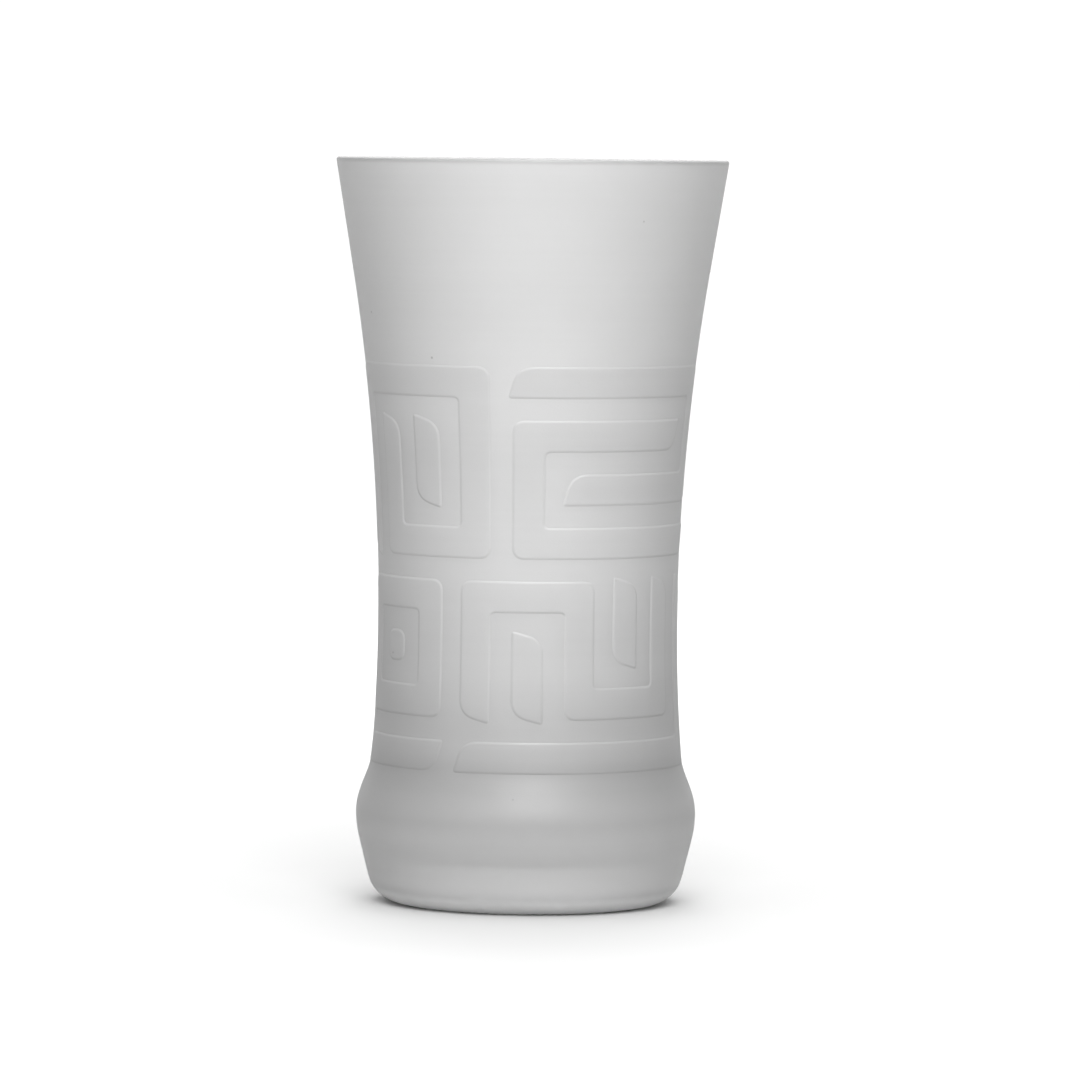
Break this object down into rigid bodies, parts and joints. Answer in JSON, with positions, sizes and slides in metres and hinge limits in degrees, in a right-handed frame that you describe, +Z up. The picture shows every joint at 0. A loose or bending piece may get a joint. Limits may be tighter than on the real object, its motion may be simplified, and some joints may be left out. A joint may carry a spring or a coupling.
{
  "type": "pint glass",
  "caption": "Flared tumbler of frosted glass with a pinched waist, a rounded foot and a raised band of abstract strokes.",
  "frame": {"origin": "centre of the face that the glass rests on", "axes": "+Z up along the axis of the glass, from the foot to the rim; the front repeat of the raised band looks along -Y"},
  "size_m": [0.0822, 0.0822, 0.156],
  "materials": {
    "frosted_glass": "acid-etched matte, neutral grey-white, see-through only as a soft glow",
    "frosted_relief": "the same etched matte as the wall under it, with soft edges"
  },
  "bodies": {
    "root": {"glass_body": "frosted_glass", "relief_key_front": "frosted_relief", "relief_key_core_front": "frosted_relief", "relief_outer_hook_front": "frosted_relief", "relief_inner_hook_front": "frosted_relief", "relief_frame_front": "frosted_relief", "relief_frame_stud_front": "frosted_relief", "relief_low_bar_front": "frosted_relief", "relief_meander_front": "frosted_relief", "relief_arch_bar_front": "frosted_relief", "relief_cup_bar_front": "frosted_relief", "relief_corner_front": "frosted_relief", "relief_key_back": "frosted_relief", "relief_key_core_back": "frosted_relief", "relief_outer_hook_back": "frosted_relief", "relief_inner_hook_back": "frosted_relief", "relief_frame_back": "frosted_relief", "relief_frame_stud_back": "frosted_relief", "relief_low_bar_back": "frosted_relief", "relief_meander_back": "frosted_relief", "relief_arch_bar_back": "frosted_relief", "relief_cup_bar_back": "frosted_relief", "relief_corner_back": "frosted_relief"}
  },
  "joints": []
}
